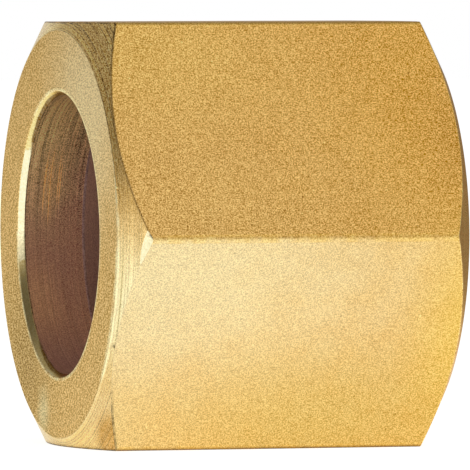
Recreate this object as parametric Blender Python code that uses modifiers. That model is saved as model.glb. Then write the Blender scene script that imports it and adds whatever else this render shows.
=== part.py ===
# Union nut in brass, turned and bored from hexagon bar. The smooth collar at one end slides on
# the tail of a hose or pipe and pulls it up by a conical seat; the other end is threaded.
#
# Units are metres. The nut lies on one of its flats with its axis along X: the collar end is
# at -X, the threaded end at +X, and +Z is up. The origin is the middle of the flat it lies on.

import math

import bmesh
import bpy

# Hexagon bar, with the small radius that drawn bar has along its six corners, and the length
ACROSS_FLATS = 0.0190
BAR_EDGE_RADIUS = 0.00028
NUT_LENGTH = 0.0164

# End faces: how far inside the flats the chamfers leave them, and the chamfer's angle to them
COLLAR_FACE_INSET = 0.00035
THREAD_FACE_INSET = 0.0005
CHAMFER_DEGREES = 30.0
COLLAR_FACE_DIAMETER = ACROSS_FLATS - 2 * COLLAR_FACE_INSET
THREAD_FACE_DIAMETER = ACROSS_FLATS - 2 * THREAD_FACE_INSET

# Relief groove where the thread runs out: the wall left under a flat, and the groove's slope on
# its threaded side
RELIEF_WALL = 0.0010
RELIEF_WIDTH = 0.0020
RELIEF_DEGREES = 45.0
RELIEF_DIAMETER = ACROSS_FLATS - 2 * RELIEF_WALL

# Thread: its crests stand this far in from the groove, which makes G 3/8 in a 19 mm hexagon. The
# solid's bore is at the crests, where a gauge plug would touch.
CREST_HEIGHT = 0.001025
THREAD_MINOR_DIAMETER = RELIEF_DIAMETER - 2 * CREST_HEIGHT

# Mouth of the thread, countersunk just wider than the thread's roots
MOUTH_STEP = 0.001125
MOUTH_DEGREES = 45.0
MOUTH_DIAMETER = THREAD_MINOR_DIAMETER + 2 * MOUTH_STEP

# Seat between the groove and the collar's bore, a cone with its angle to the axis
SEAT_HEIGHT = 0.00225
SEAT_DEGREES = 45.0

# Collar: its length along the axis, its bore, and the broken edge at its outer rim
COLLAR_LENGTH = 0.0031
COLLAR_BORE = RELIEF_DIAMETER - 2 * SEAT_HEIGHT
RIM_STEP = 0.00018
RIM_DEPTH = 0.00028
RIM_DIAMETER = COLLAR_BORE + 2 * RIM_STEP

# Stock past each end of the finished nut, and how far each tool runs past what it cuts
BAR_ALLOWANCE = 0.0010
TOOL_OVERRUN = 0.0005

# Facets round a full turn, a multiple of twelve so that they meet the hexagon's corners, and
# facets round each of the bar's rounded corners
ROUND_STEPS = 120
EDGE_STEPS = 4
WELD_DISTANCE = 0.000001
SMOOTH_DEGREES = 5.0

BRASS_COLOUR = (0.76, 0.55, 0.25, 1.0)
BRASS_ROUGHNESS = 0.38


def clear_scene():
    for item in list(bpy.data.objects):
        bpy.data.objects.remove(item, do_unlink=True)


def new_collection(name):
    collection = bpy.data.collections.new(name)
    bpy.context.scene.collection.children.link(collection)
    return collection


def brass_material():
    material = bpy.data.materials.new("brass")
    material.use_nodes = True
    shader = material.node_tree.nodes["Principled BSDF"]
    shader.inputs["Base Color"].default_value = BRASS_COLOUR
    shader.inputs["Metallic"].default_value = 1.0
    shader.inputs["Roughness"].default_value = BRASS_ROUGHNESS
    material.diffuse_color = BRASS_COLOUR
    return material


def cone_length(wide_radius, narrow_radius, degrees_to_axis):
    """Length along the axis in which a cone closes from one radius to the other."""
    return (wide_radius - narrow_radius) / math.tan(math.radians(degrees_to_axis))


def hexagon_section():
    """Points round the bar's section, with corners at +Y and -Y and each corner rounded."""
    centre_radius = (ACROSS_FLATS / 2 - BAR_EDGE_RADIUS) / math.cos(math.radians(30))
    points = []
    for corner in range(6):
        middle = math.radians(60 * corner + 90)
        for step in range(EDGE_STEPS + 1):
            turn = middle + math.radians(60 * step / EDGE_STEPS - 30)
            across = centre_radius * math.cos(middle) + BAR_EDGE_RADIUS * math.cos(turn)
            along = centre_radius * math.sin(middle) + BAR_EDGE_RADIUS * math.sin(turn)
            points.append((across, along))
    return points


def hexagon_bar(name, collection):
    """Bar stock along Z, with its lower end below the collar face."""
    section = hexagon_section()
    shape = bmesh.new()
    lower = [shape.verts.new((x, y, -BAR_ALLOWANCE)) for x, y in section]
    upper = [shape.verts.new((x, y, NUT_LENGTH + BAR_ALLOWANCE)) for x, y in section]
    shape.faces.new(list(reversed(lower)))
    shape.faces.new(upper)
    for index in range(len(section)):
        after = (index + 1) % len(section)
        shape.faces.new([lower[index], lower[after], upper[after], upper[index]])
    mesh = bpy.data.meshes.new(name)
    shape.to_mesh(mesh)
    shape.free()
    bar = bpy.data.objects.new(name, mesh)
    collection.objects.link(bar)
    return bar


def turned_form(name, outline, collection, parent):
    """A solid turned round Z from (radius, height) points, which run down its outer side."""
    mesh = bpy.data.meshes.new(name)
    points = [(radius, 0, height) for radius, height in outline]
    edges = [(index, index + 1) for index in range(len(points) - 1)]
    mesh.from_pydata(points, edges, [])
    form = bpy.data.objects.new(name, mesh)
    collection.objects.link(form)
    form.parent = parent
    form.hide_render = True
    form.display_type = "WIRE"
    turn = form.modifiers.new("Turn", "SCREW")
    turn.axis = "Z"
    turn.steps = ROUND_STEPS
    turn.render_steps = ROUND_STEPS
    turn.use_merge_vertices = True
    turn.merge_threshold = WELD_DISTANCE
    return form


def chamfered_outline():
    """Faces the nut to length and cones off the hexagon's corners at both ends."""
    collar_face = COLLAR_FACE_DIAMETER / 2
    thread_face = THREAD_FACE_DIAMETER / 2
    outside = ACROSS_FLATS / math.sqrt(3) + BAR_ALLOWANCE
    rise = math.tan(math.radians(CHAMFER_DEGREES))
    return [
        (0, NUT_LENGTH),
        (thread_face, NUT_LENGTH),
        (outside, NUT_LENGTH - (outside - thread_face) * rise),
        (outside, (outside - collar_face) * rise),
        (collar_face, 0),
        (0, 0),
    ]


def bore_outline():
    """The stepped bore, from beyond the mouth of the thread down to beyond the collar's rim."""
    bore = COLLAR_BORE / 2
    rim = RIM_DIAMETER / 2
    relief = RELIEF_DIAMETER / 2
    minor = THREAD_MINOR_DIAMETER / 2
    mouth = MOUTH_DIAMETER / 2
    mouth_start = NUT_LENGTH - cone_length(mouth, minor, MOUTH_DEGREES)
    relief_start = COLLAR_LENGTH + cone_length(relief, bore, SEAT_DEGREES)
    relief_end = relief_start + RELIEF_WIDTH
    thread_start = relief_end + cone_length(relief, minor, RELIEF_DEGREES)
    mouth_overrun = mouth + TOOL_OVERRUN * math.tan(math.radians(MOUTH_DEGREES))
    rim_overrun = rim + TOOL_OVERRUN * (rim - bore) / RIM_DEPTH
    return [
        (0, NUT_LENGTH + TOOL_OVERRUN),
        (mouth_overrun, NUT_LENGTH + TOOL_OVERRUN),
        (minor, mouth_start),
        (minor, thread_start),
        (relief, relief_end),
        (relief, relief_start),
        (bore, COLLAR_LENGTH),
        (bore, RIM_DEPTH),
        (rim_overrun, -TOOL_OVERRUN),
        (0, -TOOL_OVERRUN),
    ]


def shape_with(target, tool, operation):
    cut = target.modifiers.new(tool.name, "BOOLEAN")
    cut.operation = operation
    cut.solver = "EXACT"
    cut.object = tool


def apply_cuts(target):
    """Makes the cuts final, so that the smooth shading can follow the finished edges."""
    graph = bpy.context.evaluated_depsgraph_get()
    finished = bpy.data.meshes.new_from_object(target.evaluated_get(graph))
    target.modifiers.clear()
    target.data = finished
    finished.shade_smooth()
    finished.set_sharp_from_angle(angle=math.radians(SMOOTH_DEGREES))


def union_nut(parts, cutters):
    nut = hexagon_bar("union_nut", parts)
    chamfers = turned_form("end_chamfers", chamfered_outline(), cutters, nut)
    bore = turned_form("stepped_bore", bore_outline(), cutters, nut)
    shape_with(nut, chamfers, "INTERSECT")
    shape_with(nut, bore, "DIFFERENCE")
    nut.rotation_euler = (0, math.pi / 2, 0)
    nut.location = (-NUT_LENGTH / 2, 0, ACROSS_FLATS / 2)
    bpy.context.view_layer.update()
    apply_cuts(nut)
    nut.data.materials.clear()
    nut.data.materials.append(brass_material())
    return nut


clear_scene()
union_nut(new_collection("union_nut"), new_collection("union_nut_cutters"))
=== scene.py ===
import math

import bmesh
import bpy
import numpy as np
from mathutils import Matrix, Vector


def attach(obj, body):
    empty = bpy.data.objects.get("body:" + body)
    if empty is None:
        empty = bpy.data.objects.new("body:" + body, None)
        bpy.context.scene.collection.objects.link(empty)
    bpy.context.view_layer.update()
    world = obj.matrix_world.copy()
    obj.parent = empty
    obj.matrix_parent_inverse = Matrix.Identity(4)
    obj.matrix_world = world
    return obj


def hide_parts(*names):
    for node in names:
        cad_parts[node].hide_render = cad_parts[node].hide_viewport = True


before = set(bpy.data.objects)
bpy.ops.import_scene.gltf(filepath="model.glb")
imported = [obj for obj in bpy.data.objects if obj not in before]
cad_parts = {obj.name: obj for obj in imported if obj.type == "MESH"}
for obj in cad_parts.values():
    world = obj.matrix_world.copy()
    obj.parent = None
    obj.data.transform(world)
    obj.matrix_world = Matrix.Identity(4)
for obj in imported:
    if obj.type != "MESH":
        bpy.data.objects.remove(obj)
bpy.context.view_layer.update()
metresPerMm = 0.001
print("frame loaded:", sorted(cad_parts))


# Camera: a long lens a little above the floor, turned towards the collar end
photoCamera = {
    "azimuth": -17.526,         # degrees round from straight in front of the two near flats
    "elevation": 1.372,
    "roll": 0.095,
    "distance": 513.0,          # from the nut's centre
    "right": 0.1086,            # middle of the frame, right of and below the nut's centre
    "below": 0.0978,
    "frameWidth": 21.13,        # what the frame spans at that distance
    "sensor": 36.0,
    "nearest": 10.0,            # what lies nearer or farther isn't rendered
    "farthest": 20000.0,
}


def addCamera(place, centre):
    azimuth, elevation, roll = (math.radians(place[name]) for name in ("azimuth", "elevation", "roll"))
    level = math.cos(elevation)
    back = Vector((math.sin(azimuth) * level, -math.cos(azimuth) * level, math.sin(elevation)))
    right = Vector((math.cos(azimuth), math.sin(azimuth), 0))
    up = back.cross(right)
    aim = centre + right * place["right"] - up * place["below"]
    turnedRight = right * math.cos(roll) - up * math.sin(roll)
    turnedUp = right * math.sin(roll) + up * math.cos(roll)
    data = bpy.data.cameras.new("photoCamera")
    data.sensor_width = place["sensor"]
    data.lens = place["sensor"] * place["distance"] / place["frameWidth"]
    data.clip_start = place["nearest"] * metresPerMm
    data.clip_end = place["farthest"] * metresPerMm
    camera = bpy.data.objects.new("photoCamera", data)
    bpy.context.scene.collection.objects.link(camera)
    turn = Matrix((turnedRight, turnedUp, back)).transposed().to_4x4()
    camera.matrix_world = Matrix.Translation((aim + back * place["distance"]) * metresPerMm) @ turn
    bpy.context.scene.camera = camera


# Node helpers
def addNode(tree, kind, **settings):
    item = tree.nodes.new(kind)
    for name, value in settings.items():
        setattr(item, name, value)
    return item


def plug(tree, source, socket):
    # source is another node's socket, or a plain value
    if isinstance(source, bpy.types.NodeSocket):
        tree.links.new(source, socket)
    else:
        socket.default_value = source


def calculate(tree, operation, *values, clamp=False):
    item = addNode(tree, "ShaderNodeMath", operation=operation, use_clamp=clamp)
    for value, socket in zip(values, item.inputs):
        plug(tree, value, socket)
    return item.outputs[0]


def calculateVector(tree, operation, vector, other=None):
    # other is a second vector, or a number for SCALE; DOT_PRODUCT and LENGTH give a number
    item = addNode(tree, "ShaderNodeVectorMath", operation=operation)
    plug(tree, vector, item.inputs[0])
    if other is not None:
        plug(tree, other, item.inputs["Scale" if operation == "SCALE" else 1])
    return item.outputs["Value" if operation in ("DOT_PRODUCT", "LENGTH") else "Vector"]


def combine(tree, x, y, z):
    item = addNode(tree, "ShaderNodeCombineXYZ")
    for source, socket in zip((x, y, z), item.inputs):
        plug(tree, source, socket)
    return item.outputs[0]


def separate(tree, vector):
    item = addNode(tree, "ShaderNodeSeparateXYZ")
    plug(tree, vector, item.inputs[0])
    return item.outputs


def remap(tree, value, low, high, newLow, newHigh, smooth=False):
    item = addNode(tree, "ShaderNodeMapRange", interpolation_type="SMOOTHSTEP" if smooth else "LINEAR")
    names = ("Value", "From Min", "From Max", "To Min", "To Max")
    for name, source in zip(names, (value, low, high, newLow, newHigh)):
        plug(tree, source, item.inputs[name])
    return item.outputs["Result"]


def blendColour(tree, factor, first, second):
    item = addNode(tree, "ShaderNodeMix", data_type="RGBA")
    for index, source in ((0, factor), (6, first), (7, second)):    # its sockets for colours
        plug(tree, source, item.inputs[index])
    return item.outputs[2]


def placeOnNut(tree):
    return addNode(tree, "ShaderNodeTexCoord").outputs["Object"]


def noiseAt(tree, place, scale, detail=2.0, roughness=0.5):
    item = addNode(tree, "ShaderNodeTexNoise")
    names = ("Vector", "Scale", "Detail", "Roughness")
    for name, source in zip(names, (place, scale, detail, roughness)):
        plug(tree, source, item.inputs[name])
    return item.outputs["Fac"]


def newGroup(name, inputs, outputs):
    # inputs are names with their usual values, numbers or vectors, and outputs are names of numbers
    tree = bpy.data.node_groups.new(name, "ShaderNodeTree")
    for label, value in inputs.items():
        kind = "NodeSocketVector" if isinstance(value, tuple) else "NodeSocketFloat"
        tree.interface.new_socket(name=label, in_out="INPUT", socket_type=kind).default_value = value
    for label in outputs:
        tree.interface.new_socket(name=label, in_out="OUTPUT", socket_type="NodeSocketFloat")
    return tree, addNode(tree, "NodeGroupInput").outputs, addNode(tree, "NodeGroupOutput").inputs


def useGroup(tree, group, **values):
    item = addNode(tree, "ShaderNodeGroup", node_tree=group)
    for name, value in values.items():
        plug(tree, value, item.inputs[name])
    return item.outputs


# The nut's own sizes, the same as in the solid, and the fine breaks on its edges
nut = {
    "acrossFlats": 19.0,
    "length": 16.4,
    "barCorner": 0.28,          # radius along the bar's six long corners
    "collarFace": 18.3,
    "threadFace": 18.0,
    "chamferAngle": 30.0,
    "rim": 12.86,
    "rimDepth": 0.28,
    "collarBore": 12.5,
    "collarLength": 3.1,
    "reliefStart": 5.35,
    "reliefEnd": 7.35,
    "relief": 17.0,
    "mouth": 17.2,
    "threadMinor": 14.95,
    "threadMajor": 16.662,
    "pitch": 1.337,             # right-hand
    "flankAngle": 27.5,
    "crestRadius": 0.1836,
    "rowsPerPitch": 20,
    "columnStep": 2.5,          # degrees
    "cornerColumns": (1 / 3, 2 / 3, 1.0, 1.5),  # more of them beside a long corner; at 1 its arc ends
    "weldDecimals": 5,          # columns and points that agree to this many decimals are one
    # at each edge: radius of its break, steps round the break, rows from there to the next edge; from
    # the mouth on, the rows follow the thread instead
    "breaks": {
        "rim": (0.06, 3, 9),
        "collarFace": (0.06, 4, 16),
        "collarChamfer": (0.07, 3, 12),
        "threadChamfer": (0.07, 3, 10),
        "threadFace": (0.08, 3, 3),
        "mouth": (0.05, 3, 0),
        "reliefEnd": (0.25, 4, 6),
        "reliefStart": (0.25, 4, 8),
        "seatEdge": (0.10, 3, 12),
        "rimEdge": (0.05, 2, 2),
    },
    "edgeLip": 0.05,            # how far beside an edge its wear and painted light end, and the same beside the rim's edges
    "rimLip": 0.13,
    "rimEdgeLip": 0.08,
    "threadFaceWear": 0.3,
    # round the nut, in degrees up from the near long corner: how much wider the collar edge's wear and
    # painted highlight are, on its face and on its chamfer; how much darker the chamfer's outer edge is;
    # how bright the collar's and the rim's edges are, by wear and in part by a painted highlight
    "widerWearAndHighlight": [(-50, 0.0, 0.0), (-38, 0.30, 0.10), (-20, 0.36, 0.16), (4, 0.20, 0.12), (14, 0.0, 0.0)],
    "darkerChamferEdge": [(-48, 0.9), (-42, 0.0), (-4, 0.0), (4, 0.2), (48, 0.3), (54, 1.0)],
    "bright": [
        (-150, 0.2, 0.8), (-120, 0.2, 1.0), (-47, 0.2, 1.0), (-34, 1.0, 1.0), (14, 1.0, 1.0),
        (30, 0.2, 1.0), (110, 0.2, 1.0), (130, 0.2, 0.0),
    ],
}
nutCentre = Vector((0, 0, nut["acrossFlats"] / 2))


def fromCorner(angles):
    # how far round from the nearest long corner; they stand at 0, 60, 120 degrees and so on
    return np.abs((angles + math.pi / 6) % (math.pi / 3) - math.pi / 6)


def cornerArc():
    # how far out the centre of a long corner's arc is, and how far round the arc reaches to each side
    radius = nut["barCorner"]
    centre = (nut["acrossFlats"] / 2 - radius) / math.cos(math.pi / 6)
    reach = math.atan2(radius * math.sin(math.pi / 6), centre + radius * math.cos(math.pi / 6))
    return centre, reach


def hexagonRadius(angles):
    # how far out the bar reaches at each angle
    centre, reach = cornerArc()
    away = fromCorner(angles)
    flat = nut["acrossFlats"] / 2 / np.cos(math.pi / 6 - away)
    inArc = np.maximum(nut["barCorner"] ** 2 - (centre * np.sin(away)) ** 2, 0)
    return np.where(away < reach, centre * np.cos(away) + np.sqrt(inArc), flat)


def columnAngles():
    # even columns, with more where a long corner turns
    reach = math.degrees(cornerArc()[1])
    angles = list(np.arange(0, 360, nut["columnStep"]))
    for corner in range(0, 360, 60):
        for share in nut["cornerColumns"]:
            angles += [(corner + reach * share) % 360, (corner - reach * share) % 360]
    return np.radians(np.append(np.unique(np.round(angles, nut["weldDecimals"])), 360.0))


def threadRadius(along):
    # Whitworth form with rounded crests and roots; along is measured from the middle of a crest
    half = nut["pitch"] / 2
    slope = 1 / math.tan(math.radians(nut["flankAngle"]))
    tangent = nut["crestRadius"] * math.cos(math.radians(nut["flankAngle"]))
    fromCrest = np.abs((along + half) % nut["pitch"] - half)
    nearest = np.minimum(fromCrest, half - fromCrest)
    nose = nut["crestRadius"] - np.sqrt(nut["crestRadius"] ** 2 - np.minimum(nearest, tangent) ** 2)
    rise = nose + np.maximum(nearest - tangent, 0) * slope
    return np.where(fromCrest < half / 2, nut["threadMinor"] / 2 + rise, nut["threadMajor"] / 2 - rise)


def roundTheNut(angles, table, column):
    # a value that a table gives at some degrees, for every column
    degrees = (np.degrees(angles) + 180) % 360 - 180
    return np.interp(degrees, [row[0] for row in table], [row[column] for row in table])


def unitLength(vectors):
    return vectors / np.linalg.norm(vectors, axis=-1, keepdims=True)


def roundedCorner(before, corner, after, radius, steps):
    # rows of a short arc that takes the place of a sharp corner, for all columns at once
    toBefore, toAfter = unitLength(before - corner), unitLength(after - corner)
    half = np.arccos(np.clip((toBefore * toAfter).sum(-1, keepdims=True), -1, 1)) / 2
    centre = corner + unitLength(toBefore + toAfter) * radius / np.sin(half)
    start = corner + toBefore * radius / np.tan(half) - centre
    end = corner + toAfter * radius / np.tan(half) - centre
    turn = math.pi - 2 * half
    rows = []
    for step in range(steps + 1):
        part = step / steps
        rows.append(centre + (np.sin((1 - part) * turn) * start + np.sin(part * turn) * end) / np.sin(turn))
    return rows


def nutRows(angles):
    # (along, radius) for every column, row by row from the rim over the outside and back through the bore
    length, rise = nut["length"], math.tan(math.radians(nut["chamferAngle"]))
    outside = hexagonRadius(angles)

    def ring(along, radius):
        return np.stack([np.broadcast_to(along, angles.shape), np.broadcast_to(radius, angles.shape)], -1)

    lip = nut["edgeLip"]
    faceLip, chamferLip = (lip + roundTheNut(angles, nut["widerWearAndHighlight"], column)[:, None] for column in (1, 2))
    darkening = -roundTheNut(angles, nut["darkerChamferEdge"], 1)
    collarWearAndHighlight, rimWearAndHighlight = (roundTheNut(angles, nut["bright"], column) for column in (1, 2))
    collarChamfer = (outside - nut["collarFace"] / 2) * rise
    threadChamfer = length - (outside - nut["threadFace"] / 2) * rise
    # edge, its place, its wear and painted light (below 0 it darkens), how far that goes before and after
    # it, zone up to the next edge
    edges = [
        ("rim", ring(0, nut["rim"] / 2), rimWearAndHighlight, lip, nut["rimLip"], "face"),
        ("collarFace", ring(0, nut["collarFace"] / 2), collarWearAndHighlight, faceLip, chamferLip, "chamfer"),
        ("collarChamfer", ring(collarChamfer, outside), darkening, lip, lip, "flat"),
        ("threadChamfer", ring(threadChamfer, outside), 1.0, lip, lip, "farChamfer"),
        ("threadFace", ring(length, nut["threadFace"] / 2), nut["threadFaceWear"], lip, lip, "face"),
        ("mouth", ring(length, nut["mouth"] / 2), 0.0, lip, lip, "thread"),
        ("reliefEnd", ring(nut["reliefEnd"], nut["relief"] / 2), 0.0, lip, lip, "groove"),
        ("reliefStart", ring(nut["reliefStart"], nut["relief"] / 2), 0.0, lip, lip, "seat"),
        ("seatEdge", ring(nut["collarLength"], nut["collarBore"] / 2), -1.0, lip, lip, "bore"),
        ("rimEdge", ring(nut["rimDepth"], nut["collarBore"] / 2), 1.0, nut["rimEdgeLip"], lip, "rim"),
    ]
    names, corners, wornAndPaintedLight, lipsBefore, lipsAfter, zonesAfter = zip(*edges)
    mouthStart = length - (nut["mouth"] - nut["threadMinor"]) / 2
    threadStart = nut["reliefEnd"] + (nut["relief"] - nut["threadMinor"]) / 2
    afterMouth, beforeRelief = (ring(along, nut["threadMinor"] / 2) for along in (mouthStart, threadStart))
    arcs = []
    for index, name in enumerate(names):
        radius, steps = nut["breaks"][name][:2]
        before = beforeRelief if zonesAfter[index - 1] == "thread" else corners[index - 1]
        after = afterMouth if zonesAfter[index] == "thread" else corners[(index + 1) % len(corners)]
        arcs.append(roundedCorner(before, corners[index], after, radius, steps))

    rows, zones, wearAndPaintedLightRows = [], [], []
    for index, zone in enumerate(zonesAfter):
        following = (index + 1) % len(corners)
        last, nextStart = arcs[index][-1], arcs[following][0]
        rows += arcs[index]
        # the seat's finish runs over its edge into the bore
        zones += ["seat" if zone == "bore" else zone] * len(arcs[index])
        wearAndPaintedLightRows += [np.broadcast_to(wornAndPaintedLight[index], angles.shape)] * len(arcs[index])
        if zone == "thread":
            between = threadRows(last, nextStart, angles)
        else:
            # a row close to each break ends the wear and painted light beside it
            onward = unitLength(nextStart - last)
            low, high = last + onward * lipsAfter[index], nextStart - onward * lipsBefore[following]
            rowCount = nut["breaks"][names[index]][2]
            between = [low + (high - low) * step / rowCount for step in range(rowCount + 1)]
        rows += between
        zones += [zone] * len(between)
        wearAndPaintedLightRows += [np.zeros(angles.shape)] * len(between)
    return np.stack(rows), zones, np.stack(wearAndPaintedLightRows)


def threadRows(first, last, angles):
    # rows that follow the helix; each is held between the mouth and the relief groove
    high, low = first[0, 0], last[0, 0]
    step = nut["pitch"] / nut["rowsPerPitch"]
    rows = []
    for row in range(1, math.ceil((high - low + nut["pitch"]) / step)):
        along = high + nut["pitch"] - row * step - nut["pitch"] * angles / math.tau
        along = np.clip(along, low, high)
        mouth = nut["mouth"] / 2 - (nut["length"] - along)
        runOut = nut["relief"] / 2 - (along - nut["reliefEnd"])
        helix = threadRadius(along + nut["pitch"] * angles / math.tau - high)
        rows.append(np.stack([along, np.maximum(np.maximum(mouth, runOut), helix)], -1))
    return rows


zoneMaterials = {
    "flat": "brassFlat",
    "face": "brassFace",
    "chamfer": "brassChamfer",
    "farChamfer": "brassFarChamfer",
    "rim": "brassRim",
    "bore": "brassBore",
    "seat": "brassSeat",
    "groove": "brassThread",
    "thread": "brassThread",
}


def nutMesh(materials):
    angles = columnAngles()
    rows, zones, wearAndPaintedLightRows = nutRows(angles)
    rowCount, columnCount = len(rows), len(angles)
    along, radius = rows[..., 0], rows[..., 1]
    places = np.stack([
        along - nut["length"] / 2,
        -radius * np.cos(angles),
        nut["acrossFlats"] / 2 + radius * np.sin(angles),
    ], -1).reshape(-1, 3)

    # points that fall together, at the seam and where helix rows end, become one
    rounded = np.round(places, nut["weldDecimals"])
    _, kept, owner = np.unique(rounded, axis=0, return_index=True, return_inverse=True)
    owner = owner.reshape(rowCount, columnCount)
    faces, faceZones = [], []
    for row in range(rowCount):
        below = owner[(row + 1) % rowCount]
        here = owner[row]
        for column in range(columnCount - 1):
            loop = [here[column], below[column], below[column + 1], here[column + 1]]
            face = [point for index, point in enumerate(loop) if point != loop[index - 1]]
            if len(set(face)) > 2:
                faces.append([int(point) for point in face])
                faceZones.append(zones[row])

    mesh = bpy.data.meshes.new("unionNutBody")
    mesh.from_pydata([tuple(point) for point in places[kept] * metresPerMm], [], faces)
    order = list(materials)
    for name in order:
        mesh.materials.append(materials[name])
    mesh.polygons.foreach_set("material_index", [order.index(zoneMaterials[zone]) for zone in faceZones])

    # 1 where an edge or a long corner of the bar takes its finish's edge colour: brighter by handling wear
    # and in part by a painted highlight, and in the bore a dark line beside the rim's edge; -1 where an
    # edge is darker: painted shade along the seat's edge, and the chamfer's outer edge
    reach = cornerArc()[1]
    margin = 1.01               # takes in the columns at the ends of a corner's arc
    longCorner = np.where(fromCorner(angles) < reach * margin, 1.0, 0.0)
    onFlat = np.array([1.0 if zone == "flat" else 0.0 for zone in zones])
    wearAndPaintedLight = np.where(wearAndPaintedLightRows < 0, wearAndPaintedLightRows, np.maximum(wearAndPaintedLightRows, onFlat[:, None] * longCorner[None, :])).reshape(-1)
    mesh.attributes.new("wearAndPaintedLight", "FLOAT", "POINT").data.foreach_set("value", wearAndPaintedLight[kept].astype(np.float32))
    return mesh


# A bruise where the near long corner meets the collar end's chamfer
bruise = {
    "corners": [(1.09, 10.92, 0.0), (0.88, 10.67, 1.5), (0.70, 10.36, -6.1)],   # along, radius, degrees
    "reach": 2.2,               # how far from its first corner it may cut
}


def nutPoint(along, radius, degrees):
    turn = math.radians(degrees)
    across, above = -radius * math.cos(turn), radius * math.sin(turn)
    return nutCentre + Vector((along - nut["length"] / 2, across, above))


def cutBruise(mesh):
    top, upper, lower = (nutPoint(*corner) * metresPerMm for corner in bruise["corners"])
    outward = (upper - top).cross(lower - top).normalized()
    if outward.x > 0:
        outward.negate()
    shape = bmesh.new()
    shape.from_mesh(mesh)
    reach = bruise["reach"] * metresPerMm
    near = [face for face in shape.faces if (face.calc_center_median() - top).length < reach]
    # a dictionary keeps each part once and in order, so that every run gives the same mesh
    geometry = dict.fromkeys(near)
    for face in near:
        geometry.update(dict.fromkeys([*face.edges, *face.verts]))
    cut = bmesh.ops.bisect_plane(
        shape, geom=list(geometry), plane_co=top, plane_no=outward, clear_outer=True
    )
    edges = [item for item in cut["geom_cut"] if isinstance(item, bmesh.types.BMEdge)]
    filled = bmesh.ops.holes_fill(shape, edges=edges, sides=0)
    rimFinish = list(finishes).index(zoneMaterials["rim"])
    for face in filled["faces"]:
        face.material_index = rimFinish
    bmesh.ops.triangulate(shape, faces=filled["faces"])
    shape.normal_update()
    shape.to_mesh(mesh)
    shape.free()
    print("bruise cut:", len(edges), "edges")


# What the shared effects have in common for every finish. Where noise has a pair of values, the effect
# runs from one end to the other between them. Waves are to the millimetre.
effects = {
    "grainNoise": (0.3, 0.7),
    "grainDetail": 0.4,
    "grainHeight": 0.006,
    "grainGloss": 0.05,         # roughness that the lightest grains lack and the darkest have more
    "speckScale": 0.13,         # specks for each grain
    "speckKinds": (0.5, 0.52),  # below the first a speck is dark, above the second it is light
    "speckSizes": (0.03, 0.13),     # shares of the space between specks
    "speckCore": 0.5,           # share of a speck that has its full tone
    "lineNoise": (0.3, 0.7),
    "lineDetail": 3.0,
    "lineRoughness": 0.6,
    "lineHeight": 0.06,         # for a contrast of 1
    "streakNoise": (0.54, 0.66),
    "mottleNoise": (0.35, 0.65),
    "mottleDetail": 3.0,
    "patchWaves": 0.7,
    "patchRagged": 0.3,         # share of its reach over which a patch's border wanders
    "edgeMarkWaves": 1.6,
    "edgeMarkNoise": (0.35, 0.58),
    "edgeMarkLeast": 0.25,          # what is left of the wear, painted light and darkening where the noise is lowest
    "edgeMarkFull": 0.6,            # an edge with this much wear and painted light is as bright as it gets
    "stretchWaves": 2.5,
    "stretchRagged": 0.8,       # millimetres over which a stretch's border wanders
}


def aboveAxis(tree, place):
    # millimetres above the nut's axis
    height = calculate(tree, "DIVIDE", separate(tree, place)["Z"], metresPerMm)
    return calculate(tree, "SUBTRACT", height, nutCentre.z)


def wobble(tree, place, waves, reach):
    # slow noise round 0
    noise = noiseAt(tree, place, waves / metresPerMm)
    return calculate(tree, "MULTIPLY", calculate(tree, "SUBTRACT", noise, 0.5), reach)


def grainGroup():
    # the sandy grain that blasting leaves, with dark and light specks: swing is round 0
    usual = {"Grain": 0.06, "Across": 1.0, "Specks": 0.5}
    tree, given, result = newGroup("sandGrain", usual, ["Swing", "Height"])
    place = placeOnNut(tree)
    scale = calculate(tree, "DIVIDE", 1 / metresPerMm, given["Grain"])
    squeeze = combine(tree, 1, calculate(tree, "DIVIDE", 1.0, given["Across"]), 1)
    drawn = calculateVector(tree, "MULTIPLY", place, squeeze)
    fine = noiseAt(tree, drawn, scale, effects["grainDetail"])
    specks = addNode(tree, "ShaderNodeTexVoronoi")
    plug(tree, place, specks.inputs["Vector"])
    plug(tree, calculate(tree, "MULTIPLY", scale, effects["speckScale"]), specks.inputs["Scale"])
    kind = addNode(tree, "ShaderNodeSeparateColor")
    plug(tree, specks.outputs["Color"], kind.inputs[0])
    lightOrDark = remap(tree, kind.outputs[0], *effects["speckKinds"], -1.0, 1.0)
    size = remap(tree, kind.outputs[1], 0.0, 1.0, *effects["speckSizes"])
    core = calculate(tree, "MULTIPLY", size, effects["speckCore"])
    spot = remap(tree, specks.outputs["Distance"], core, size, 1.0, 0.0, smooth=True)
    spots = calculate(tree, "MULTIPLY", calculate(tree, "MULTIPLY", spot, lightOrDark), given["Specks"])
    swing = remap(tree, fine, *effects["grainNoise"], -1.0, 1.0)
    plug(tree, calculate(tree, "ADD", swing, spots), result["Swing"])
    relief = calculate(tree, "ADD", fine, spots)
    plug(tree, calculate(tree, "MULTIPLY", relief, effects["grainHeight"]), result["Height"])
    return tree


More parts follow.
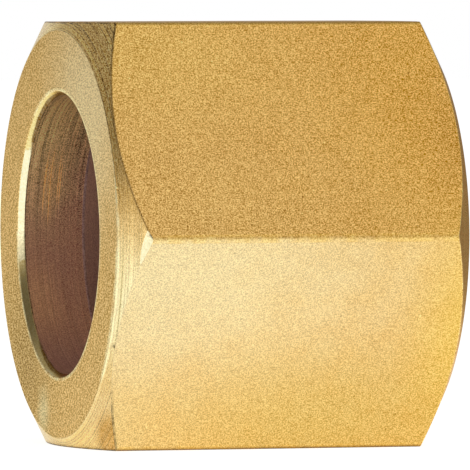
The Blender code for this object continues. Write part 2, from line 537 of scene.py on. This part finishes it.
def linesGroup():
    # rings that a turning tool leaves, read from distance out from the axis less distance from the nut's
    # middle, so that faces, chamfers and bores all have them; streak picks out the few brightest
    usual = {"Spacing": 0.12, "Wander": 0.08, "Contrast": 0.12}
    tree, given, result = newGroup("turnedLines", usual, ["Swing", "Streak", "Height"])
    place = placeOnNut(tree)
    sides = separate(tree, place)
    across = calculate(tree, "DIVIDE", sides["Y"], metresPerMm)
    above = aboveAxis(tree, place)
    inward = calculate(tree, "MULTIPLY", calculate(tree, "ABSOLUTE", sides["X"]), -1 / metresPerMm)
    squares = [calculate(tree, "POWER", side, 2.0) for side in (across, above)]
    out = calculate(tree, "SQRT", calculate(tree, "ADD", *squares))
    track = calculate(tree, "DIVIDE", calculate(tree, "ADD", out, inward), given["Spacing"])
    wander = [calculate(tree, "MULTIPLY", side, given["Wander"]) for side in (across, above)]
    drawn = combine(tree, track, *wander)
    rings = noiseAt(tree, drawn, 1.0, effects["lineDetail"], effects["lineRoughness"])
    swing = remap(tree, rings, *effects["lineNoise"], -1.0, 1.0)
    plug(tree, calculate(tree, "MULTIPLY", swing, given["Contrast"]), result["Swing"])
    plug(tree, remap(tree, rings, *effects["streakNoise"], 0.0, 1.0, smooth=True), result["Streak"])
    height = calculate(tree, "MULTIPLY", rings, effects["lineHeight"])
    plug(tree, calculate(tree, "MULTIPLY", height, given["Contrast"]), result["Height"])
    return tree


def tarnishGroup():
    # slow change of tone over the surface, and how far it is the floor's side, from one height above the
    # axis to another
    tree, given, result = newGroup("tarnish", {"Size": 6.0, "Low": -0.1, "High": 0.1}, ["Mottle", "Below"])
    place = placeOnNut(tree)
    scale = calculate(tree, "DIVIDE", 1 / metresPerMm, given["Size"])
    slow = noiseAt(tree, place, scale, effects["mottleDetail"])
    plug(tree, remap(tree, slow, *effects["mottleNoise"], 0.0, 1.0, smooth=True), result["Mottle"])
    plug(tree, remap(tree, aboveAxis(tree, place), given["Low"], given["High"], 1.0, 0.0), result["Below"])
    return tree


def patchGroup():
    # one place that has another tone, full in its centre and gone at its reach, with an uneven border
    usual = {
        "Centre": (0, 0, 0), "Reach": (1, 1, 1), "Amount": 1.0,
        "Above": 1.0, "Rise": 1.0, "Below": 1.0,
    }
    tree, given, result = newGroup("patch", usual, ["Inside"])
    place = placeOnNut(tree)
    away = calculateVector(tree, "SUBTRACT", place, given["Centre"])
    shares = calculateVector(tree, "DIVIDE", away, given["Reach"])
    rise = remap(tree, given["Below"], 0.0, 1.0, given["Rise"], 1.0)
    raised = calculateVector(tree, "MULTIPLY", shares, combine(tree, 1, 1, rise))
    ragged = wobble(tree, place, effects["patchWaves"], effects["patchRagged"])
    far = calculate(tree, "ADD", calculateVector(tree, "LENGTH", raised), ragged)
    patch = remap(tree, far, 0.0, 1.0, 1.0, 0.0, smooth=True)
    kept = remap(tree, given["Below"], 0.0, 1.0, given["Above"], 1.0)
    inside = calculate(tree, "MULTIPLY", calculate(tree, "MULTIPLY", patch, kept), given["Amount"])
    plug(tree, inside, result["Inside"])
    return tree


def wearAndPaintedLightGroup():
    # edges brightened by wear and in part by a painted highlight, and darkened ones, painted shade at the
    # seat's edge, both broken up by a little noise
    tree, given, result = newGroup("edgeWearAndPaintedLight", {"Amount": 0.6, "Dirt": 0.5}, ["Bright", "Dark"])
    edge = addNode(tree, "ShaderNodeAttribute", attribute_name="wearAndPaintedLight").outputs["Fac"]
    noise = noiseAt(tree, placeOnNut(tree), effects["edgeMarkWaves"] / metresPerMm)
    uneven = remap(tree, noise, *effects["edgeMarkNoise"], effects["edgeMarkLeast"], 1.0)
    for name, amount, full in (("Bright", "Amount", effects["edgeMarkFull"]), ("Dark", "Dirt", -1.0)):
        part = calculate(tree, "MULTIPLY", calculate(tree, "DIVIDE", edge, full, clamp=True), uneven)
        plug(tree, calculate(tree, "MULTIPLY", part, given[amount], clamp=True), result[name])
    return tree


def stretchGroup():
    # a stretch between two heights above the axis, with a slightly ragged border, and what is over it
    tree, given, result = newGroup("stretch", {"Low": 0.0, "High": 1.0, "Soft": 0.1}, ["Inside", "Over"])
    place = placeOnNut(tree)
    ragged = wobble(tree, place, effects["stretchWaves"], effects["stretchRagged"])
    height = calculate(tree, "ADD", aboveAxis(tree, place), ragged)
    overLow, overHigh = (
        remap(tree, height, given[end], calculate(tree, "ADD", given[end], given["Soft"]), 0.0, 1.0)
        for end in ("Low", "High")
    )
    plug(tree, calculate(tree, "SUBTRACT", overLow, overHigh), result["Inside"])
    plug(tree, overHigh, result["Over"])
    return tree


# Each finish of the brass: colours are linear, lengths in millimetres. Fleck is what the lightest grains
# add to the colour and the darkest take away. Calm is how much weaker grain and lines are on the floor's
# side, which begins and ends at the two heights of belowFrom. A stretch has its lowest and highest height
# and its border's width. A patch has its centre (from the collar face, across, above the axis), its reach
# in those directions, its colour and its amount; above is what is left of it above the axis, rise how
# much of the height counts there, and streaked how far it keeps to the brightest turned lines.
usualFinish = {
    "calm": 0.0, "belowFrom": (-0.1, 0.1), "metallic": 1.0, "across": 1.0, "wearAndPaintedLight": 0.0, "darkening": 0.0,
    "patches": [],
}
finishes = {
    "brassFlat": {
        "colour": (0.79, 0.447, 0.097), "darker": (0.75, 0.415, 0.086), "wornAndPaintedLight": (0.98, 0.61, 0.14),
        "fleck": (0.27, 0.21, 0.10), "calm": 0.25, "tint": (0.94, 0.88, 0.76), "roughness": 0.42,
        "grain": 0.055, "specks": 1.4, "spacing": 0.12, "contrast": 0.0, "bump": 0.5,
        "wearAndPaintedLight": 0.45, "darkening": 0.6,
        "patches": [
            # the first patch, a pale haze over the lower flat that fades above the axis, is a painted
            # highlight
            {"centre": (0.5, -9.8, -1.5), "reach": (25, 16, 13.5), "colour": (0.93, 0.78, 0.455),
             "amount": 0.74, "above": 0.22, "rise": 0.3},
            {"centre": (2, -6.5, 8.5), "reach": (9, 9, 5), "colour": (0.86, 0.55, 0.15), "amount": 0.55},
            {"centre": (16, -9, 6), "reach": (8, 12, 7.5), "colour": (0.74, 0.405, 0.08), "amount": 0.7},
            {"centre": (0, -5.5, -9), "reach": (6, 5, 5), "colour": (0.88, 0.64, 0.27), "amount": 0.5},
            {"centre": (10, -6.2, -8.4), "reach": (12, 6, 6), "colour": (0.695, 0.468, 0.124),
             "amount": 0.7},
            {"centre": (16.4, -10, -4.5), "reach": (4, 9, 8), "colour": (0.91, 0.575, 0.093),
             "amount": 0.6},
            {"centre": (16.4, -9, 5), "reach": (3, 8, 6), "colour": (0.67, 0.37, 0.085), "amount": 0.7},
        ],
    },
    "brassFace": {
        "colour": (0.72, 0.46, 0.158), "darker": (0.68, 0.435, 0.147), "wornAndPaintedLight": (0.98, 0.83, 0.47),
        "fleck": (0.28, 0.22, 0.13), "tint": (0.92, 0.80, 0.60), "roughness": 0.36,
        "grain": 0.07, "across": 2.2, "specks": 1.0, "spacing": 0.10, "contrast": 0.06, "bump": 0.3,
        "wearAndPaintedLight": 0.9,
        "patches": [
            {"centre": (0, -4.6, 5.8), "reach": (10, 8.8, 8), "colour": (0.82, 0.635, 0.34),
             "amount": 1.1},
            {"centre": (0, 5, -5.8), "reach": (10, 6.6, 7.2), "colour": (0.465, 0.29, 0.088),
             "amount": 0.95},
            {"centre": (0, 2.3, -8), "reach": (10, 1.4, 1.5), "colour": (0.72, 0.64, 0.36), "amount": 0.7},
        ],
    },
    "brassChamfer": {
        "colour": (0.80, 0.52, 0.18), "darker": (0.71, 0.44, 0.14), "wornAndPaintedLight": (0.97, 0.80, 0.44),
        "fleck": (0.46, 0.355, 0.19), "calm": 0.60, "belowFrom": (1.5, 5.5), "tint": (0.96, 0.94, 0.78),
        "roughness": 0.24, "grain": 0.058, "specks": 1.6, "spacing": 0.10, "contrast": 0.70, "bump": 0.6,
        "wearAndPaintedLight": 0.8, "darkening": 1.0,
        "patches": [
            # the first patch, pale across the chamfer's middle, is a painted highlight
            {"centre": (0.5, -9.6, -3.2), "reach": (6, 5, 5.2), "colour": (0.97, 0.82, 0.46),
             "amount": 0.8},
            {"centre": (0.6, -6.2, -7.8), "reach": (4, 4, 3), "colour": (0.80, 0.54, 0.23), "amount": 0.9},
            {"centre": (0.75, -5.4, -9.1), "reach": (0.62, 1.8, 3.6), "colour": (0.58, 0.315, 0.08),
             "amount": 1.8},
            {"centre": (0.17, -9.2, -2.6), "reach": (0.05, 3, 4.8), "colour": (0.52, 0.40, 0.17),
             "amount": 0.9},
            {"centre": (0.2, -8.25, -4.75), "reach": (0.2, 0.6, 0.16), "colour": (0.30, 0.22, 0.10),
             "amount": 1.5},
        ],
    },
    "brassFarChamfer": {
        "colour": (0.90, 0.555, 0.19), "darker": (0.81, 0.495, 0.155), "wornAndPaintedLight": (0.90, 0.62, 0.28),
        "fleck": (0.35, 0.26, 0.12), "tint": (0.98, 0.72, 0.46), "roughness": 0.28,
        "grain": 0.06, "specks": 1.0, "spacing": 0.11, "contrast": 0.30, "bump": 0.5, "wearAndPaintedLight": 0.3,
    },
    # The rim's colours are a painted reflection: its bright tone between the stretch's heights, the duller
    # tones under and over it, the dark patches at its top and bottom and the bright line low down
    "brassRim": {
        "colour": (0.95, 0.845, 0.53), "darker": (0.92, 0.79, 0.465), "fleck": (0.08, 0.08, 0.06),
        "tint": (0.90, 0.80, 0.60), "roughness": 0.22,
        "grain": 0.08, "specks": 0.0, "spacing": 0.08, "contrast": 0.03, "bump": 0.10,
        "stretch": (-1.25, 3.7, 0.08), "under": (0.70, 0.53, 0.22), "over": (0.86, 0.67, 0.28),
        "patches": [
            {"centre": (0.36, 0, 6.4), "reach": (0.26, 30, 3.7), "colour": (0.25, 0.145, 0.052),
             "amount": 8.0},
            {"centre": (0, 0, -6.7), "reach": (0.20, 30, 0.9), "colour": (0.97, 0.86, 0.50),
             "amount": 2.0},
            {"centre": (0.36, 0, -6.8), "reach": (0.26, 30, 2.6), "colour": (0.26, 0.15, 0.045),
             "amount": 8.0},
        ],
    },
    "brassBore": {
        "colour": (0.475, 0.245, 0.152), "darker": (0.43, 0.225, 0.15), "wornAndPaintedLight": (0.14, 0.09, 0.04),
        "fleck": (0.45, 0.33, 0.18), "calm": 0.70, "belowFrom": (-1.0, 5.0), "metallic": 0.30,
        "tint": (0.80, 0.55, 0.40), "roughness": 0.38,
        "grain": 0.052, "specks": 1.6, "spacing": 0.09, "contrast": 0.63, "bump": 0.4, "wearAndPaintedLight": 1.0,
        # the bore's first patch, paler at its top, is painted light, the second, darker at its bottom,
        # painted shade, and the streaked one on the far wall painted light falling in; its edge colour is a
        # dark line beside the rim's inner edge
        "patches": [
            {"centre": (0.6, 4, 6), "reach": (4, 9, 8), "colour": (0.89, 0.62, 0.27), "amount": 1.1},
            {"centre": (1.5, 1, -7.5), "reach": (5, 6, 6), "colour": (0.42, 0.23, 0.19), "amount": 0.8},
            {"centre": (0.7, 5.6, -3), "reach": (1.8, 3, 3.6), "colour": (0.62, 0.335, 0.175),
             "amount": 0.8},
            {"centre": (1.45, 5.8, 2.3), "reach": (0.58, 3, 2.2), "colour": (1.0, 0.54, 0.18),
             "amount": 5.0, "streaked": 0.96},
        ],
    },
    "brassSeat": {
        # the seat's purple tint and its darkening along its edge are painted shade deep in the bore
        "colour": (0.54, 0.335, 0.30), "darker": (0.47, 0.295, 0.27), "fleck": (0.12, 0.09, 0.07),
        "metallic": 0.5, "tint": (0.60, 0.45, 0.40), "roughness": 0.45,
        "grain": 0.07, "specks": 0.2, "spacing": 0.18, "contrast": 0.08, "bump": 0.35, "darkening": 0.3,
    },
    "brassThread": {
        "colour": (0.74, 0.47, 0.16), "darker": (0.62, 0.38, 0.13), "fleck": (0.10, 0.08, 0.05),
        "tint": (0.85, 0.62, 0.32), "roughness": 0.30,
        "grain": 0.06, "specks": 0.1, "spacing": 0.06, "contrast": 0.05, "bump": 0.2,
    },
}


def brassMaterial(name, finish, groups):
    look = {**usualFinish, **finish}
    material = bpy.data.materials.new(name)
    material.use_nodes = True
    tree = material.node_tree
    shader = tree.nodes["Principled BSDF"]
    shader.inputs["Metallic"].default_value = look["metallic"]
    shader.inputs["Specular Tint"].default_value = (*look["tint"], 1.0)
    grain = useGroup(
        tree, groups["grain"], Grain=look["grain"], Across=look["across"], Specks=look["specks"]
    )
    lines = useGroup(tree, groups["lines"], Spacing=look["spacing"], Contrast=look["contrast"])
    low, high = look["belowFrom"]
    tarnish = useGroup(tree, groups["tarnish"], Low=low, High=high)
    wearAndPaintedLight = useGroup(tree, groups["wearAndPaintedLight"], Amount=look["wearAndPaintedLight"], Dirt=look["darkening"])

    # the mottled metal, and over it the stretch, the patches and the brightened edges; the rim's stretch,
    # some of the patches and part of the edges' brightening are painted light and shade
    tone = blendColour(tree, tarnish["Mottle"], (*look["colour"], 1.0), (*look["darker"], 1.0))
    # on the rim the stretch is a painted reflection
    if "stretch" in look:
        low, high, soft = look["stretch"]
        stretch = useGroup(tree, groups["stretch"], Low=low, High=high, Soft=soft)
        outside = blendColour(tree, stretch["Over"], (*look["under"], 1.0), (*look["over"], 1.0))
        tone = blendColour(tree, stretch["Inside"], outside, tone)
    for patch in look["patches"]:
        along, across, above = patch["centre"]
        centre = nutCentre + Vector((along - nut["length"] / 2, across, above))
        inside = useGroup(
            tree, groups["patch"], Centre=centre * metresPerMm, Reach=Vector(patch["reach"]) * metresPerMm,
            Amount=patch["amount"], Above=patch.get("above", 1.0), Rise=patch.get("rise", 1.0),
            Below=tarnish["Below"],
        )["Inside"]
        if "streaked" in patch:
            kept = remap(tree, lines["Streak"], 0.0, 1.0, 1.0 - patch["streaked"], 1.0)
            inside = calculate(tree, "MULTIPLY", inside, kept)
        tone = blendColour(tree, inside, tone, (*patch["colour"], 1.0))
    if look["wearAndPaintedLight"]:
        tone = blendColour(tree, wearAndPaintedLight["Bright"], tone, (*look["wornAndPaintedLight"], 1.0))

    # lines and the darkened edges shade it, painted shade at the seat's edge, and the grain adds its flecks
    calm = remap(tree, tarnish["Below"], 0.0, 1.0, 1.0, 1.0 - look["calm"])
    lined = calculate(tree, "ADD", 1.0, calculate(tree, "MULTIPLY", lines["Swing"], calm))
    shade = calculate(tree, "MULTIPLY", lined, calculate(tree, "SUBTRACT", 1.0, wearAndPaintedLight["Dark"]))
    swing = calculate(tree, "MULTIPLY", grain["Swing"], calm)
    flecks = calculateVector(tree, "SCALE", look["fleck"], swing)
    colour = calculateVector(tree, "ADD", calculateVector(tree, "SCALE", tone, shade), flecks)
    plug(tree, colour, shader.inputs["Base Color"])
    gloss = calculate(tree, "MULTIPLY", swing, effects["grainGloss"])
    plug(tree, calculate(tree, "SUBTRACT", look["roughness"], gloss), shader.inputs["Roughness"])
    bump = addNode(tree, "ShaderNodeBump")
    bump.inputs["Distance"].default_value = metresPerMm
    bump.inputs["Strength"].default_value = look["bump"]
    plug(tree, calculate(tree, "ADD", grain["Height"], lines["Height"]), bump.inputs["Height"])
    plug(tree, bump.outputs["Normal"], shader.inputs["Normal"])
    return material


def addNut():
    groups = {
        "grain": grainGroup(), "lines": linesGroup(), "tarnish": tarnishGroup(),
        "patch": patchGroup(), "wearAndPaintedLight": wearAndPaintedLightGroup(), "stretch": stretchGroup(),
    }
    materials = {name: brassMaterial(name, finish, groups) for name, finish in finishes.items()}
    mesh = nutMesh(materials)
    cutBruise(mesh)
    mesh.polygons.foreach_set("use_smooth", [True] * len(mesh.polygons))
    mesh.update()
    piece = bpy.data.objects.new("unionNut", mesh)
    bpy.context.scene.collection.objects.link(piece)
    normals = piece.modifiers.new("evenNormals", "WEIGHTED_NORMAL")
    normals.keep_sharp = True
    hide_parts("union_nut")
    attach(piece, "root")
    print("nut:", len(mesh.vertices), "points,", len(mesh.polygons), "faces")


# Floor and studio light. Brightness is what the metal sees in each direction; the camera sees white.
studio = {
    "floorSize": 3000.0,
    "floorDrop": 0.01,          # keeps it clear of the flat that the nut lies on
    "floorTone": 0.70,          # of the light that falls on it
    "floorGlow": 0.80,          # added for the camera, so that open floor is white
    "floorInMetal": 0.76,       # added for reflections, in a slightly cool white
    "floorShine": (1.0, 1.10, 1.17),
    "contact": 0.16,            # how near the nut the floor begins to darken in reflections
    "contactSamples": 8,
    "darkSide": ((1.0, 0.2, 0.0), 15.0, 70.0),  # floor in reflections fades that way, from and to there
    "level": 0.36,
    # direction, brightness added, degrees within which it is full, degrees at which it has gone
    "panels": {
        "overhead": ((0.30, -0.50, 0.81), 0.13, 12, 50),
        "front": ((0.30, -0.95, 0.0), 0.38, 10, 50),
        "frontLeft": ((-0.90, -0.42, -0.05), 0.82, 12, 34),
        "left": ((-0.955, 0.20, -0.17), 0.85, 8, 25),
        "backLeft": ((-0.30, 0.95, 0.0), 0.16, 8, 30),
        "back": ((0.12, 0.98, 0.10), 0.60, 6, 18),
        "upperBackLeft": ((-0.58, 0.70, 0.42), 0.08, 8, 30),
        "backRight": ((0.67, 0.74, 0.0), -0.06, 30, 60),
        "upperLeft": ((-0.65, -0.30, 0.70), -0.20, 15, 50),
    },
}


def seenDirectly(tree, path):
    # 1 for what the camera sees, also through glass
    return calculate(tree, "MAXIMUM", path.outputs["Is Camera Ray"], path.outputs["Is Transmission Ray"])


def addWorld():
    world = bpy.data.worlds.new("studio")
    bpy.context.scene.world = world
    world.use_nodes = True
    tree = world.node_tree
    tree.nodes.clear()
    direction = addNode(tree, "ShaderNodeTexCoord").outputs["Generated"]
    total = studio["level"]
    for name, (toward, added, full, gone) in studio["panels"].items():
        facing = calculateVector(tree, "DOT_PRODUCT", direction, Vector(toward).normalized())
        facing.node.label = name
        start, end = (math.cos(math.radians(degrees)) for degrees in (gone, full))
        total = calculate(tree, "ADD", total, remap(tree, facing, start, end, 0.0, added, smooth=True))
    seen = seenDirectly(tree, addNode(tree, "ShaderNodeLightPath"))
    inMetal = calculate(tree, "MULTIPLY", total, calculate(tree, "SUBTRACT", 1.0, seen))
    background = addNode(tree, "ShaderNodeBackground")
    background.inputs["Color"].default_value = (1, 1, 1, 1)
    plug(tree, calculate(tree, "ADD", inMetal, seen), background.inputs["Strength"])
    plug(tree, background.outputs[0], addNode(tree, "ShaderNodeOutputWorld").inputs["Surface"])


def addFloor():
    half, drop = studio["floorSize"] / 2, -studio["floorDrop"]
    corners = [(-half, -half, drop), (half, -half, drop), (half, half, drop), (-half, half, drop)]
    mesh = bpy.data.meshes.new("floor")
    mesh.from_pydata([Vector(corner) * metresPerMm for corner in corners], [], [(0, 1, 2, 3)])
    material = bpy.data.materials.new("paleFloor")
    material.use_nodes = True
    tree = material.node_tree
    tree.nodes.clear()
    matt = addNode(tree, "ShaderNodeBsdfDiffuse")
    matt.inputs["Color"].default_value = (*[studio["floorTone"]] * 3, 1.0)
    path = addNode(tree, "ShaderNodeLightPath")
    place = addNode(tree, "ShaderNodeTexCoord").outputs["Object"]
    toward, near, far = studio["darkSide"]
    reach = calculateVector(tree, "DOT_PRODUCT", place, Vector(toward).normalized())
    near, far = near * metresPerMm, far * metresPerMm
    fade = remap(tree, reach, near, far, studio["floorInMetal"], 0.0, smooth=True)
    contact = addNode(tree, "ShaderNodeAmbientOcclusion", samples=studio["contactSamples"])
    contact.inputs["Distance"].default_value = studio["contact"] * metresPerMm
    fade = calculate(tree, "MULTIPLY", fade, contact.outputs["AO"])
    inMetal = calculate(tree, "MULTIPLY", path.outputs["Is Glossy Ray"], fade)
    toCamera = calculate(tree, "MULTIPLY", seenDirectly(tree, path), studio["floorGlow"])
    both = matt.outputs[0]
    for colour, strength in ((studio["floorShine"], inMetal), ((1.0, 1.0, 1.0), toCamera)):
        glow = addNode(tree, "ShaderNodeEmission")
        glow.inputs["Color"].default_value = (*colour, 1.0)
        plug(tree, strength, glow.inputs["Strength"])
        added = addNode(tree, "ShaderNodeAddShader")
        plug(tree, both, added.inputs[0])
        plug(tree, glow.outputs[0], added.inputs[1])
        both = added.outputs[0]
    plug(tree, both, addNode(tree, "ShaderNodeOutputMaterial").inputs["Surface"])
    mesh.materials.append(material)
    floor = bpy.data.objects.new("floor", mesh)
    bpy.context.scene.collection.objects.link(floor)


# Lamps, aimed at the nut: the softbox gives the soft shadow, and the other lights the bore's own colour
# without showing in the metal
lamps = {
    "softbox": {"place": (180, -300, 480), "size": 260, "brightness": 0.8, "inMetal": True},
    "intoBore": {"place": (-310, -190, 50), "size": 160, "brightness": 7.8, "inMetal": False},
}


def addLamp(name, lamp):
    side = lamp["size"] * metresPerMm
    data = bpy.data.lights.new(name, "AREA")
    data.shape = "SQUARE"
    data.size = side
    data.energy = lamp["brightness"] * math.pi * side * side
    light = bpy.data.objects.new(name, data)
    bpy.context.scene.collection.objects.link(light)
    place = Vector(lamp["place"])
    light.location = place * metresPerMm
    light.visible_glossy = lamp["inMetal"]
    light.rotation_euler = (place - nutCentre).to_track_quat("Z", "Y").to_euler()


addCamera(photoCamera, nutCentre)
addNut()
addFloor()
addWorld()
for name, lamp in lamps.items():
    addLamp(name, lamp)
bpy.context.scene.view_settings.view_transform = "Standard"
print("studio lit")
